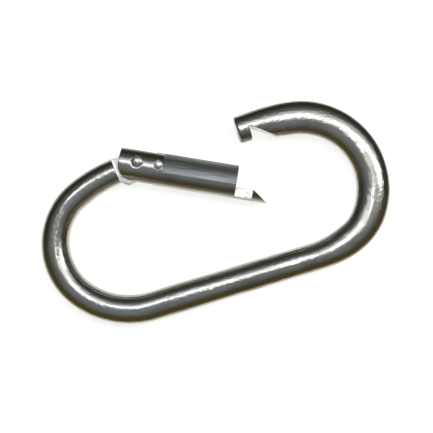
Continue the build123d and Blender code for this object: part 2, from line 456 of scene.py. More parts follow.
# ------------------------------------------------------------------ hinge
@dataclass(frozen=True)
class Hinge:
    """Where the gate turns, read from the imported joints."""

    pivot: Vector
    gate_angle: float
    rise: float = 1.45              # the pivot's height above the barrel's axis, in millimetres

    @classmethod
    def from_frame(cls) -> "Hinge":
        """Read the pivot and the gate's direction from the record's joints."""
        joints = {joint["name"]: joint for joint in frame["joints"]}
        along = joints["plunger_slide"]["axis"]
        return cls(Vector(joints["gate_pivot"]["pos_m"]), math.atan2(along[1], along[0]))

    def hook_place(self) -> Matrix:
        """Frame at the pivot with the hook's own axes."""
        return Matrix.Translation(self.pivot)

    def gate_place(self) -> Matrix:
        """Frame at the pivot with X along the gate."""
        return self.hook_place() @ Matrix.Rotation(self.gate_angle, 4, "Z")

    def barrel_place(self) -> Matrix:
        """Frame on the barrel's axis, below the pivot."""
        return self.gate_place() @ Matrix.Translation((0.0, -self.rise * MM, 0.0))

    def cross_place(self, along: float) -> Matrix:
        """Frame with X across the gate, at a distance from the pivot in millimetres."""
        shift = Matrix.Translation((along * MM, 0.0, 0.0))
        return self.gate_place() @ shift @ Matrix.Rotation(-math.pi / 2, 4, "Y")


# ------------------------------------------------------------------ grain
def rigid_grain(place: Matrix) -> Measure:
    """A map from the scene to a piece's own frame, along and across its axis."""
    inverse = place.inverted()
    return lambda spot: inverse @ spot


class BentLine:
    """A line of points through a bent bar, searched by place."""

    def __init__(self, line: list[Vector], halves: Outline) -> None:
        """Index the line.

        Args:
            line: its points, in the scene.
            halves: half the bar's width and half its depth at each point, in metres.
        """
        self.line, self.halves = line, halves
        self.tree = KDTree(len(line))
        self.travelled = [0.0]
        for number, spot in enumerate(line):
            self.tree.insert(spot, number)
            if number:
                self.travelled.append(self.travelled[-1] + (spot - line[number - 1]).length)
        self.tree.balance()

    def nearest(self, spot: Vector) -> tuple[int, Vector, Vector, Vector]:
        """Number and place of the point nearest a spot, and the bar's directions there.

        Args:
            spot: a place in the scene.

        Returns:
            The point's number, its place, the direction along the bar and the one across it.
        """
        place, number, _ = self.tree.find(spot)
        before = self.line[max(number - 1, 0)]
        after = self.line[min(number + 1, len(self.line) - 1)]
        along = (after - before).normalized()
        return number, place, along, Vector((-along.y, along.x, 0.0))

    def measure(self, spot: Vector) -> Vector:
        """Distance along the line to a spot, and its offsets across the line and up.

        Args:
            spot: a place in the scene.

        Returns:
            The distance and the two offsets, in metres.
        """
        number, place, along, across = self.nearest(spot)
        offset = spot - place
        return Vector((self.travelled[number] + offset.dot(along), offset.dot(across), offset.z))

    def outward(self, spot: Vector) -> Vector | None:
        """Outward direction of the oval bar at a spot, or None off its skin.

        Args:
            spot: a place in the scene.

        Returns:
            The direction, or None.
        """
        number, place, _, across = self.nearest(Vector((spot.x, spot.y, self.line[0].z)))
        wide, deep = self.halves[number]
        side, high = (spot - place).dot(across), spot.z - place.z
        if abs(math.hypot(side / wide, high / deep) - 1) > ON_SKIN:
            return None
        return (across * (side / wide ** 2) + Vector((0, 0, high / deep ** 2))).normalized()


def mark_grain(piece: Piece, measure: Measure) -> None:
    """Store on every point where it lies along and across the piece's axis, in metres.

    Args:
        piece: the piece.
        measure: the map from a point to where it lies.
    """
    attribute = piece.data.attributes.new(GRAIN, "FLOAT_VECTOR", "POINT")
    flat = [value for vertex in piece.data.vertices for value in measure(vertex.co)]
    attribute.data.foreach_set("vector", flat)


# ------------------------------------------------------------------ finishes
@dataclass(frozen=True)
class Ripple:
    """One layer of unevenness in a surface: a noise and how deep it stands."""

    size: float                     # distance between bumps, in millimetres
    depth: float                    # height of the bumps, in millimetres
    stretch: float = 1.0            # how many times longer the bumps are along the grain
    detail: float = 1.5


@dataclass(frozen=True)
class SteelFinish:
    """A bare steel surface."""

    name: str
    light: str                      # colour of its brighter patches
    dark: str                       # colour of its duller patches
    roughness: tuple[float, float]
    ripples: tuple[Ripple, ...]
    patch_size: float = 9.0         # size of the duller patches, in millimetres
    patch_edges: ClassVar[tuple[float, float]] = (0.35, 0.68)   # noise where a patch starts, ends

    def noise(self, tree: Tree, place: Socket, ripple: Ripple) -> Node:
        """Add a noise at a ripple's size, drawn out along the grain.

        Args:
            tree: the material's tree.
            place: where a point lies along and across the grain.
            ripple: the noise's size, stretch and detail.

        Returns:
            The noise node.
        """
        squeezed = add_node(tree, "ShaderNodeVectorMath", {
            "operation": "MULTIPLY", 1: (1.0 / ripple.stretch, 1.0, 1.0)}, {0: place})
        return add_node(tree, "ShaderNodeTexNoise", {
            "Scale": 1.0 / (ripple.size * MM), "Detail": ripple.detail, "Roughness": 0.55},
            {"Vector": squeezed.outputs[0]})

    def material(self) -> Material:
        """The finish as a material, made the first time that it is asked for.

        Returns:
            The material.
        """
        made = bpy.data.materials.get(self.name)
        if made:
            return made
        made = bpy.data.materials.new(self.name)
        made.use_nodes = True
        tree = made.node_tree
        tree.nodes.clear()
        place = add_node(tree, "ShaderNodeAttribute", {"attribute_name": GRAIN}).outputs["Vector"]
        normal = None
        for ripple in self.ripples:
            height = self.noise(tree, place, ripple)
            links = {"Height": height.outputs[0]}
            if normal:
                links["Normal"] = normal.outputs[0]
            normal = add_node(tree, "ShaderNodeBump",
                              {"Strength": 1.0, "Distance": ripple.depth * MM}, links)
        normal = self.relief(tree, place, normal)
        tint, rough = self.polish(tree, place)
        shader = add_node(tree, "ShaderNodeBsdfPrincipled", {"Metallic": 1.0}, {
            "Base Color": tint, "Roughness": rough, "Normal": normal.outputs[0]})
        add_node(tree, "ShaderNodeOutputMaterial", links={"Surface": shader.outputs[0]})
        return made

    def relief(self, tree: Tree, place: Socket, normal: Node) -> Node:
        """Add any larger relief over the ripples; a plain finish has none."""
        return normal

    def polish(self, tree: Tree, place: Socket) -> tuple[Socket, Socket]:
        """Find the surface's colour and roughness.

        Args:
            tree: the material's tree.
            place: where a point lies along and across the grain.

        Returns:
            The colour and the roughness.
        """
        patches = self.noise(tree, place, Ripple(self.patch_size, 0.0, 2.0, 4.0)).outputs[0]
        share = self.ramp(tree, patches, *self.patch_edges)
        tint = self.mix_colour(tree, share, linear(self.light), linear(self.dark))
        return tint, self.between(tree, share, self.roughness)

    @staticmethod
    def between(tree: Tree, share: Socket, ends: tuple[float, float]) -> Socket:
        """A value that goes from the first end to the second as a share goes from 0 to 1."""
        return add_node(tree, "ShaderNodeMapRange", {3: ends[0], 4: ends[1]},
                        {0: share}).outputs[0]

    @staticmethod
    def ramp(tree: Tree, value: Socket, low: float, high: float) -> Socket:
        """Rise smoothly from 0 to 1 as a value goes from low to high."""
        return add_node(tree, "ShaderNodeMapRange", {
            "interpolation_type": "SMOOTHSTEP", 1: low, 2: high, 3: 0.0, 4: 1.0},
            {0: value}).outputs[0]

    @staticmethod
    def mix_colour(tree: Tree, share: Socket, first: tuple, second: tuple) -> Socket:
        """Mix two colours by a share."""
        return add_node(tree, "ShaderNodeMix", {"data_type": "RGBA", 6: first, 7: second},
                        {0: share}).outputs[2]


@dataclass(frozen=True)
class LinishedBand(SteelFinish):
    """Polished steel with a band that was rubbed along its length with fine abrasive."""

    band_light: str = "B9BAB9"
    band_dark: str = "979897"
    band_roughness: tuple[float, float] = (0.46, 0.56)
    lean: float = 0.16              # slope of the band away from its lower border
    # Where it lies, in millimetres
    start: float = 12.0             # its beginning, from the pivot
    border: float = -1.359          # its lower border, from the barrel's axis
    wander: float = 1.3             # how far the border wanders
    start_blur: float = 0.12        # half the width over which it fades, at its beginning,
    border_blur: float = 0.35       # at its border
    side_blur: float = 0.6          # and on the barrel's flanks

    def band(self, tree: Tree, place: Socket) -> tuple[Socket, Socket]:
        """Find the band.

        Args:
            tree: the material's tree.
            place: where a point lies along and across the gate.

        Returns:
            1 in the band and 0 off it, and how far above its lower border a point lies.
        """
        parts = add_node(tree, "ShaderNodeSeparateXYZ", links={0: place})
        ragged = self.noise(tree, place, Ripple(1.1, 0.0, 9.0, 3.0)).outputs[0]
        begins = self.ramp(tree, parts.outputs[0], (self.start - self.start_blur) * MM,
                           (self.start + self.start_blur) * MM)
        drift = add_node(tree, "ShaderNodeMath", {
            "operation": "MULTIPLY_ADD", 1: self.wander * MM,
            2: (-self.wander / 2 - self.border) * MM}, {0: ragged})
        level = add_node(tree, "ShaderNodeMath", {"operation": "ADD"},
                         {0: parts.outputs[1], 1: drift.outputs[0]}).outputs[0]
        above = self.ramp(tree, level, -self.border_blur * MM, self.border_blur * MM)
        facing = self.ramp(tree, parts.outputs[2], -self.side_blur * MM, self.side_blur * MM)
        share = begins
        for factor in (above, facing):
            share = add_node(tree, "ShaderNodeMath", {"operation": "MULTIPLY"},
                             {0: share, 1: factor}).outputs[0]
        return share, level

    def relief(self, tree: Tree, place: Socket, normal: Node) -> Node:
        """Lean the band over from its lower border, where the abrasive bit deepest.

        Args:
            tree: the material's tree.
            place: where a point lies along and across the grain.
            normal: the node that gives the normal under the band.

        Returns:
            The node that gives the normal.
        """
        share, level = self.band(tree, place)
        fall = add_node(tree, "ShaderNodeMath", {"operation": "MULTIPLY"},
                        {0: share, 1: level}).outputs[0]
        return add_node(tree, "ShaderNodeBump", {
            "invert": True, "Strength": 1.0, "Distance": self.lean},
            {"Height": fall, "Normal": normal.outputs[0]})

    def polish(self, tree: Tree, place: Socket) -> tuple[Socket, Socket]:
        """Lay the band's colour and roughness over those of the polish.

        Args:
            tree: the material's tree.
            place: where a point lies along and across the grain.

        Returns:
            The colour and the roughness.
        """
        tint, shine = super().polish(tree, place)
        band, _ = self.band(tree, place)
        streaks = self.noise(tree, place, Ripple(0.5, 0.0, 40.0, 3.0)).outputs[0]
        streaked = self.ramp(tree, streaks, 0.3, 0.7)
        rubbed = self.mix_colour(tree, streaked, linear(self.band_light), linear(self.band_dark))
        dull = self.between(tree, streaked, self.band_roughness)
        mixed = add_node(tree, "ShaderNodeMix", {"data_type": "RGBA"},
                         {0: band, 6: tint, 7: rubbed})
        rough = add_node(tree, "ShaderNodeMix", {"data_type": "FLOAT"},
                         {0: band, 2: shine, 3: dull})
        return mixed.outputs[2], rough.outputs[0]


# The bar: bright stainless, tumbled and buffed, so reflections wander along it and break up.
# The half-millimetre ripple stands for the finer marks of tumbling, as coarse as shows.
BUFFED_BAR = SteelFinish("buffed_stainless_bar", "D0CEC7", "B6B3AA", (0.15, 0.26), (
    Ripple(13.0, 0.150, 1.8), Ripple(3.0, 0.070, 2.6), Ripple(1.2, 0.080, 1.6),
    Ripple(0.55, 0.0450, 2.4)))

# The gate's barrel: the same steel, turned, with a dull band rubbed along its upper side
BUFFED_GATE = LinishedBand("buffed_stainless_gate", "D2D0CA", "BAB7B0", (0.16, 0.25), (
    Ripple(8.0, 0.090, 2.2), Ripple(2.2, 0.045, 1.8), Ripple(0.5, 0.0120, 26.0)))

# Cut faces: milled and left bright, so they catch the whole soft light and look nearly white
MILLED_FACE = SteelFinish("milled_stainless_face", "DEDCD7", "BDBAB3", (0.22, 0.34), (
    Ripple(3.0, 0.012, 1.0), Ripple(0.6, 0.006, 3.0)), patch_size=2.2)

# Rivet and pin ends: hammered over and rubbed flush, a little greyer than the barrel
PEENED_END = SteelFinish("peened_stainless_end", "D6D4CE", "B2AFA8", (0.20, 0.32), (
    Ripple(1.6, 0.020), Ripple(0.4, 0.003)), patch_size=1.8)

# Plunger: turned steel with fine rings across it, oily and darker
TURNED_PLUNGER = SteelFinish("turned_steel_plunger", "A8A59D", "85827A", (0.2, 0.32), (
    Ripple(0.3, 0.004, 0.05), Ripple(2.0, 0.006)), patch_size=3.0)

# Spring: drawn wire with lines along it and a grey skin
SPRING_WIRE = SteelFinish("drawn_spring_wire", "9C9A95", "7B7974", (0.22, 0.34), (
    Ripple(0.25, 0.003, 6.0), Ripple(1.2, 0.004)), patch_size=2.0)


# ------------------------------------------------------------------ parts
@dataclass
class Part:
    """A piece of the hook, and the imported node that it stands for."""

    hinge: Hinge
    name: ClassVar[str]
    node: ClassVar[str]
    body: ClassVar[str]
    slot: ClassVar[str]
    skin: ClassVar[SteelFinish]
    segments: ClassVar[int]

    def build(self) -> Piece:
        """Make the piece's mesh, with its finishes on its faces."""
        raise NotImplementedError

    def place(self) -> Matrix:
        """The piece's own frame, with X along its axis."""
        return self.hinge.barrel_place()

    def measure(self) -> Measure:
        """The map from a point to where it lies along and across the piece's axis."""
        return rigid_grain(self.place())

    def outward(self) -> Facing | None:
        """The rule for the true surface's direction, or None where the faces serve."""
        return None

    def turned(self, profile: Outline) -> Piece:
        """Turn the piece in its own frame from a profile, with its finish all over.

        Args:
            profile: (distance along the axis, radius) from end to end, in millimetres.

        Returns:
            The piece.
        """
        shape = lathe(profile, self.segments, self.place())
        piece = object_of(self.name, mesh_of(self.name, shape))
        piece.data.materials.append(self.skin.material())
        return piece

    def dress(self, piece: Piece) -> None:
        """Shade the piece, mark its grain, and put it in its node's place on its body.

        Args:
            piece: the built piece.
        """
        shade(piece)
        rule = self.outward()
        if rule:
            true_normals(piece, rule)
        mark_grain(piece, self.measure())
        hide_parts(self.node)
        self.join_body(piece)

    def join_body(self, piece: Piece) -> None:
        """Let the piece move with its body."""
        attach(piece, self.body)


# ------------------------------------------------------------------ hook body
@dataclass
class BentBar(Part):
    """The hook's body: a bent round bar with a flat tang and a slotted, hooked nose."""

    name = "polished_hook_body"
    node = "hook_body"
    body = "hook"
    slot = "hook_steel"
    skin: SteelFinish = BUFFED_BAR
    cut: SteelFinish = MILLED_FACE
    shoulder: tuple[float, float] = (-10.4, -0.9)       # end of the round bar, from the pivot
    heading: float = 185.5
    # Runs of the bar: (radius, degrees) of each bend, with the straight spine between the bows
    small_bow: tuple = ((64.0, 18.5), (28.5, 102.5), (36.5, 53.5))
    spine: float = 77.0
    large_bow: tuple = ((47.5, 23.5), (24.5, 31.0), (32.5, 115.5), (120.0, 12.5))
    # (width, depth) of the bar where its runs meet, from the hinge end to the nose
    sections: tuple = ((11.8, 12.4), (12.3, 12.8), (13.0, 13.0), (13.2, 13.0), (12.9, 13.0),
                       (14.4, 11.9), (14.9, 11.5), (15.3, 11.2), (12.9, 12.5))
    ring_step: float = 0.9
    segments: int = 88
    end_round: float = 1.2                              # rounding of the nose's end edge
    shoulder_round: float = 0.35                        # and of the edge at the hinge end
    line: BentLine = field(init=False)
    reach: float = 20.0                                 # how far tools stand past the bar
    tab_wall: float = 52.8                              # inner wall of the tab, from the pivot
    tab_corner: float = 1.6
    notch: tuple = (0.9, 0.5, 11.4, 8.2)                # depth, flat, length and drop
    nose_slot: tuple[float, float, float] = (5.4, -0.2, 1.5)  # width, roof, past the wall
    nose_low: float = -5.6                              # underside of the tab, from the pivot
    tang_thickness: float = 5.0
    # The tang below the cam, from the pivot, and its root: past the bar's end, drop, lift
    tang_bulge: tuple = ((-5.6, -8.58), (-6.45, -8.65), (-7.15, -8.5))
    foot_lift: float = 0.75                             # from the bar's underside at its end
    tang_root: tuple = ((0.6, 0.0, 0.0), (-0.2, -0.05, 0.35), (-2.0, -1.2, 1.6))
    cam_base: float = 3.0                               # base radius of the involute
    cam_reach: float = 6.17                             # its reach along the gate at rest
    swing: tuple[float, float] = (-19.5, 29.5)          # degrees that it serves, open and shut
    bore: float = 2.55
    cam_steps: ClassVar[int] = 14
    tang_steps: ClassVar[int] = 20

    @staticmethod
    def gone(radius: float, length: float) -> Vector:
        """How far ahead and aside a run of the bar has gone after a length of it.

        Args:
            radius: radius of the bend, or infinity where the run is straight.
            length: length of the run, in millimetres.

        Returns:
            The offset in the frame of its start.
        """
        if math.isinf(radius):
            return Vector((length, 0.0, 0.0))
        bend = length / radius
        return Vector((radius * math.sin(bend), radius * (1 - math.cos(bend)), 0.0))

    def centreline(self) -> Piece:
        """Make the bar's centreline as a chain of points with its width and depth.

        Returns:
            A chain of edges whose points carry the attributes bar_width and bar_depth.
        """
        runs = [*self.small_bow, (math.inf, self.spine), *self.large_bow]
        spot = Vector((*self.shoulder, 0.0))
        turn = math.radians(self.heading)
        rows = []
        travelled = 0.0
        for number, (radius, size) in enumerate(runs):
            straight = math.isinf(radius)
            length = size if straight else radius * math.radians(size)
            steps = round(length / self.ring_step)
            first, last = self.sections[number], self.sections[number + 1]
            heading = Matrix.Rotation(turn, 3, "Z")
            for i in range(steps + (number == len(runs) - 1)):
                share = i / steps
                place = spot + heading @ self.gone(radius, length * share)
                eased = share * share * (3 - 2 * share)
                size_here = [a + (b - a) * eased for a, b in zip(first, last)]
                rows.append((travelled + length * share, place, size_here))
            spot = spot + heading @ self.gone(radius, length)
            turn += 0.0 if straight else math.radians(size)
            travelled += length
        rows = self.rounded_ends(rows)
        shape = bmesh.new()
        place = self.hinge.hook_place()
        points = [shape.verts.new(place @ (row[1] * MM)) for row in rows]
        for first, second in zip(points, points[1:]):
            shape.edges.new((first, second))
        mesh = bpy.data.meshes.new("centreline")
        shape.to_mesh(mesh)
        shape.free()
        for name, column in (("bar_width", 0), ("bar_depth", 1)):
            attribute = mesh.attributes.new(name, "FLOAT", "POINT")
            attribute.data.foreach_set("value", [row[2][column] * MM for row in rows])
        return object_of("centreline", mesh)

    def rounded_ends(self, rows: list) -> list:
        """Close rings round both ends, drawn in so that the end edges are rounded.

        Args:
            rows: (distance, place, section) along the bar.

        Returns:
            The rows with the ends replaced.
        """
        out = []
        total = rows[-1][0]
        steps = 8
        for end_at, radius in ((0.0, self.shoulder_round), (total, self.end_round)):
            for i in range(steps + 1):
                turn = math.radians(90 * i / steps)
                depth = radius * (1 - math.cos(turn))
                inset = radius * (1 - math.sin(turn))
                distance = depth if end_at == 0.0 else total - depth
                place, size = self.at(rows, distance)
                out.append((distance, place, [s - 2 * inset for s in size]))
        low, high = self.shoulder_round, total - self.end_round
        margin = self.ring_step / 3
        middle = [row for row in rows if low + margin < row[0] < high - margin]
        return sorted(out + middle, key=lambda row: row[0])

    @staticmethod
    def at(rows: list, distance: float) -> tuple[Vector, list[float]]:
        """Place and section at a distance along the bar, between two rows.

        Args:
            rows: (distance, place, section) along the bar.
            distance: how far along, in millimetres.

        Returns:
            The place and the section.
        """
        for first, second in zip(rows, rows[1:]):
            if first[0] <= distance <= second[0]:
                share = (distance - first[0]) / (second[0] - first[0])
                place = first[1].lerp(second[1], share)
                return place, [a + (b - a) * share for a, b in zip(first[2], second[2])]
        return rows[-1][1], rows[-1][2]

    def bar_tree(self) -> Tree:
        """Geometry Nodes that skin a chain of points with oval rings.

        Returns:
            The tree. Its inputs are the chain, the faces round the bar and the material.
        """
        tree, given = open_tree("bent_bar", {
            "Centreline": "Geometry", "Segments": "Int", "Material": "Material"}, "Bar")
        line = add_node(tree, "GeometryNodeMeshToCurve", links={"Mesh": given.outputs[0]})
        size = add_node(tree, "GeometryNodeAttributeDomainSize", {"component": "CURVE"},
                        {"Geometry": line.outputs[0]})
        last = add_node(tree, "ShaderNodeMath", {"operation": "SUBTRACT", 1: 1.0},
                        {0: size.outputs["Point Count"]})
        tube = add_node(tree, "GeometryNodeMeshCylinder",
                        {"fill_type": "NGON", "Radius": 1.0, "Depth": 1.0},
                        {"Vertices": given.outputs[1], "Side Segments": last.outputs[0]})
        here = add_node(tree, "GeometryNodeInputPosition")
        parts = add_node(tree, "ShaderNodeSeparateXYZ", links={0: here.outputs[0]})
        lifted = add_node(tree, "ShaderNodeMath", {"operation": "ADD", 1: 0.5},
                          {0: parts.outputs["Z"]})
        scaled = add_node(tree, "ShaderNodeMath", {"operation": "MULTIPLY"},
                          {0: lifted.outputs[0], 1: last.outputs[0]})
        ring = add_node(tree, "ShaderNodeMath", {"operation": "ROUND"}, {0: scaled.outputs[0]})
        tangent = add_node(tree, "GeometryNodeInputTangent")
        spot = self.sample(tree, line, ring, "FLOAT_VECTOR", here.outputs[0])
        along = self.sample(tree, line, ring, "FLOAT_VECTOR", tangent.outputs[0])
        across = add_node(tree, "ShaderNodeVectorMath",
                          {"operation": "CROSS_PRODUCT", 0: (0.0, 0.0, 1.0)},
                          {1: along.outputs[0]})
        reach = []
        for name, axis in (("bar_width", "X"), ("bar_depth", "Y")):
            stored = add_node(tree, "GeometryNodeInputNamedAttribute",
                              {"data_type": "FLOAT", "Name": name})
            value = self.sample(tree, line, ring, "FLOAT", stored.outputs[0])
            half = add_node(tree, "ShaderNodeMath", {"operation": "MULTIPLY", 1: 0.5},
                            {0: value.outputs[0]})
            reach.append(add_node(tree, "ShaderNodeMath", {"operation": "MULTIPLY"},
                                  {0: half.outputs[0], 1: parts.outputs[axis]}))
        side = add_node(tree, "ShaderNodeVectorMath", {"operation": "SCALE"},
                        {0: across.outputs[0], "Scale": reach[0].outputs[0]})
        up = add_node(tree, "ShaderNodeCombineXYZ", links={"Z": reach[1].outputs[0]})
        first = add_node(tree, "ShaderNodeVectorMath", {"operation": "ADD"},
                         {0: spot.outputs[0], 1: side.outputs[0]})
        second = add_node(tree, "ShaderNodeVectorMath", {"operation": "ADD"},
                          {0: first.outputs[0], 1: up.outputs[0]})
        moved = add_node(tree, "GeometryNodeSetPosition",
                         links={"Geometry": tube.outputs["Mesh"], "Position": second.outputs[0]})
        close_tree(tree, moved.outputs[0], given.outputs["Material"])
        return tree

    @staticmethod
    def sample(tree: Tree, line: Node, ring: Node, kind: str, value: Socket) -> Node:
        """Add a node that reads a value at the chain's point with the ring's number."""
        return add_node(tree, "GeometryNodeSampleIndex", {"data_type": kind, "domain": "POINT"},
                        {"Geometry": line.outputs[0], "Value": value, "Index": ring.outputs[0]})

    def notch_outline(self) -> Outline:
        """Outline of the notch and the tab's rounded corner, from the pivot.

        Returns:
            The corners, in millimetres.
        """
        depth, flat, length, drop = self.notch
        corner = (self.tab_wall - self.tab_corner, self.nose_low + self.tab_corner)
        under = self.nose_low - self.reach
        return [
            (corner[0], under),
            *arc(corner, self.tab_corner, -90, 90, 7),
            (self.tab_wall, depth),
            (self.tab_wall + flat, depth),
            (self.tab_wall + length, depth - drop),
            (self.tab_wall + length, under),
        ]

    def slot_outline(self) -> Outline:
        """Outline of the slot through the tab, from the pivot."""
        _, roof, past = self.nose_slot
        left, right = self.tab_wall - self.reach, self.tab_wall + past
        return [(left, roof - self.reach), (right, roof - self.reach), (right, roof), (left, roof)]

    def tang_outline(self) -> Outline:
        """Outline of the flat tang, from the pivot: round end, involute, bulge and root.

        Returns:
            The corners, in millimetres.
        """
        open_by, shut_by = self.swing
        rest = math.degrees(self.hinge.gate_angle)
        cam = []
        for i in range(self.cam_steps + 1):
            angle = shut_by + (open_by - shut_by) * i / self.cam_steps
            turn = math.radians(rest + angle)
            reach = self.cam_reach - self.cam_base * math.radians(angle)
            cam.append((reach * math.cos(turn) + self.cam_base * math.sin(turn),
                        reach * math.sin(turn) - self.cam_base * math.cos(turn)))
        radius = self.cam_reach - self.cam_base * math.radians(shut_by)
        end = self.shoulder[0]
        foot = self.shoulder[1] - self.sections[0][0] / 2 + self.foot_lift
        return [
            *((end + past, radius + drop) for past, drop, _ in reversed(self.tang_root)),
            *arc((0.0, 0.0), radius, 90, rest + shut_by - 90, self.tang_steps),
            *cam,
            *self.tang_bulge,
            *((end + past, foot + lift) for past, _, lift in self.tang_root),
        ]

    def build(self) -> Piece:
        """Make the body: skin the centreline, cut the nose, add the tang and bore it.

        Returns:
            The body.
        """
        bar = self.centreline()
        bar.name = self.name
        halves = ([value.value / 2 for value in bar.data.attributes[name].data]
                  for name in ("bar_width", "bar_depth"))
        self.line = BentLine([vertex.co.copy() for vertex in bar.data.vertices],
                             list(zip(*halves)))
        grow(bar, self.bar_tree(), (self.segments, self.skin.material()))
        place = self.hinge.hook_place()
        half_slot, half_tang = self.nose_slot[0] / 2, self.tang_thickness / 2
        work(bar, [
            (Cut.REMOVE, prism(self.notch_outline(), -self.reach, self.reach, place)),
            (Cut.REMOVE, prism(self.slot_outline(), -half_slot, half_slot, place)),
            (Cut.JOIN, prism(self.tang_outline(), -half_tang, half_tang, place)),
            (Cut.REMOVE, prism(arc((0.0, 0.0), self.bore, 0, 352, 44), -half_tang - 1,
                               half_tang + 1, place)),
        ], self.cut.material())
        break_edges(bar)
        return bar

    def measure(self) -> Measure:
        """Distance along the bent bar, and offsets across it and up."""
        return self.line.measure

    def outward(self) -> Facing:
        """The rule for the bar's outward direction at a point of its skin."""
        return self.line.outward


# ------------------------------------------------------------------ gate and its insides
@dataclass
class Gate(Part):
    """The gate: a round barrel, forked at the hinge, bored, with a flat neck and a beak."""

    name = "polished_gate"
    node = "gate"
    body = "gate"
    slot = "gate_steel"
    skin: SteelFinish = BUFFED_GATE
    cut: SteelFinish = MILLED_FACE
    radius: float = 7.55
    rear: float = -8.15                 # back of the cheeks, as all lengths from the pivot
    shoulder: float = 45.5              # the square end
    beak: float = 53.3                  # where the slant starts
    tip: float = 60.4
    neck_top: float = -3.75
    beak_drop: float = 5.0              # how far the slant falls
    neck_thickness: float = 4.8
    heel: tuple[float, float] = (6.5, -8.5)             # radius and lowest point
    fork: tuple[float, float] = (8.1, 5.3)              # floor and width
    bore: tuple[float, float, float] = (4.05, 36.0, 2.3)  # radius, depth and drill point
    chamfer: float = 0.4
    rivet_seat: tuple[float, float, float] = (2.5, 2.95, 7.22)      # hole, seat and its floor
    pin_seat: tuple[float, float, float, float] = (1.5, 2.1, 5.82, 9.75)    # the same, and where
    segments: int = 104
    ring_step: float = 1.1
    reach: float = 20.0                                 # how far tools stand past the gate

    def blank(self) -> Outline:
        """Profile of the barrel before it is worked."""
        start, end = self.rear + self.chamfer, self.tip
        count = round((end - start) / self.ring_step)
        spots = [start + (end - start) * i / count for i in range(count + 1)]
        return [(self.rear, self.radius - self.chamfer), *((x, self.radius) for x in spots)]

    def end_cut(self) -> Outline:
        """Outline over the square end, the neck and the beak's slant.

        Returns:
            The corners, in millimetres.
        """
        slant = self.beak_drop / (self.tip - self.beak)
        low = self.neck_top - self.beak_drop
        return [(self.shoulder, self.reach), (self.shoulder, self.neck_top),
                (self.beak, self.neck_top), (self.tip, low),
                (self.tip + 5.0, low - slant * 5.0), (self.tip + 5.0, self.reach)]

    def heel_cut(self) -> Outline:
        """Outline under the fork's cheeks: a rounded heel, eased away to the barrel.

        Returns:
            The corners, in millimetres.
        """
        size, low = self.heel
        centre = (self.rear + size, low + size)
        far = self.rear - self.reach
        return [(far, centre[1]), *arc(centre, size, 180, 90, 18),
                (self.fork[0], -self.hinge.rise - self.radius), (self.fork[0], -self.reach),
                (far, -self.reach)]

    def seat(self, along: float, radius: float, low: float, high: float) -> Shape:
        """A round tool square to the gate's flat side.

        Args:
            along: its distance from the pivot.
            radius: its radius.
            low: its lower end.
            high: its upper end.

        Returns:
            The tool.
        """
        count = max(24, round(2 * math.pi * radius / 0.36))
        outline = arc((along, 0.0), radius, 0, 360 - 360 / count, count - 1)
        return prism(outline, low, high, self.hinge.gate_place())

    def tools(self) -> list[tuple[Cut, Shape]]:
        """Every cut that makes the gate from its blank.

        Returns:
            What each tool does, and its shape.
        """
        place, reach = self.hinge.gate_place(), self.reach
        half_neck, half_fork = self.neck_thickness / 2, self.fork[1] / 2
        beside = [(self.shoulder, -reach), (self.beak, -reach), (self.beak, 1 + self.neck_top),
                  (self.shoulder, 1 + self.neck_top)]
        slot = [(self.rear - 5, -reach), (self.fork[0], -reach), (self.fork[0], reach),
                (self.rear - 5, reach)]
        bore_r, bore_end, drill = self.bore
        hole, sunk, out = self.rivet_seat
        pin, head, ledge, pin_at = self.pin_seat
        cuts = [
            prism(self.end_cut(), -reach, reach, place),
            prism(beside, half_neck, reach, place),
            prism(beside, -reach, -half_neck, place),
            prism(self.heel_cut(), -reach, reach, place),
            lathe([(0.0, bore_r), (bore_end, bore_r), (bore_end + drill * 0.96, 0.16)], 64,
                  self.place()),
            prism(slot, -half_fork, half_fork, place),
            self.seat(0.0, hole, -reach, reach),
            self.seat(pin_at, pin, -reach, reach),
        ]
        for low, high in ((out, reach), (-reach, -out)):
            cuts.append(self.seat(0.0, sunk, low, high))
        for low, high in ((ledge, reach), (-reach, -ledge)):
            cuts.append(self.seat(pin_at, head, low, high))
        return [(Cut.REMOVE, cut) for cut in cuts]

    def build(self) -> Piece:
        """Make the gate from its turned blank.

        Returns:
            The gate.
        """
        piece = self.turned(self.blank())
        work(piece, self.tools(), self.cut.material())
        break_edges(piece)
        return piece

    def outward(self) -> Facing:
        """The rule for the barrel's outward direction at a point of its skin.

        Returns:
            The rule.
        """
        axis, measure = self.place(), self.measure()

        def barrel(spot: Vector) -> Vector | None:
            """Outward direction of the barrel, or None off its skin."""
            _, across, high = measure(spot)
            if abs(math.hypot(across, high) / (self.radius * MM) - 1) > ON_SKIN:
                return None
            return (axis.to_3x3() @ Vector((0.0, across, high))).normalized()

        return barrel


@dataclass
class PivotRivet(Part):
    """The rivet the gate turns on, peened to a low dome at each end."""

    name = "peened_pivot_rivet"
    node = "pivot_rivet"
    body = "gate"
    slot = "pin_steel"
    skin: SteelFinish = PEENED_END
    radius: float = 2.5
    top: float = 7.50               # crown of the dome, from the middle plane
    rim: float = 6.88               # and its edge
    segments: int = 64

    def place(self) -> Matrix:
        """Frame at the pivot with X along the rivet."""
        return self.hinge.cross_place(0.0)

    def build(self) -> Piece:
        """Turn the rivet: a shank between two shallow domes.

        Returns:
            The rivet.
        """
        steps = 12
        rise = self.top - self.rim
        ball = (self.radius ** 2 + rise ** 2) / (2 * rise)
        widest = math.asin((self.radius - 0.08) / ball)
        turns = [widest * (1 - i / steps) for i in range(steps)] + [widest * 0.04]
        dome = [(self.top - ball * (1 - math.cos(t)), ball * math.sin(t)) for t in turns]
        shank = [(z, self.radius) for z in (-6.0, -3.6, -1.2, 1.2, 3.6, 6.0)]
        return self.turned([(-z, r) for z, r in reversed(dome)] + shank + dome)


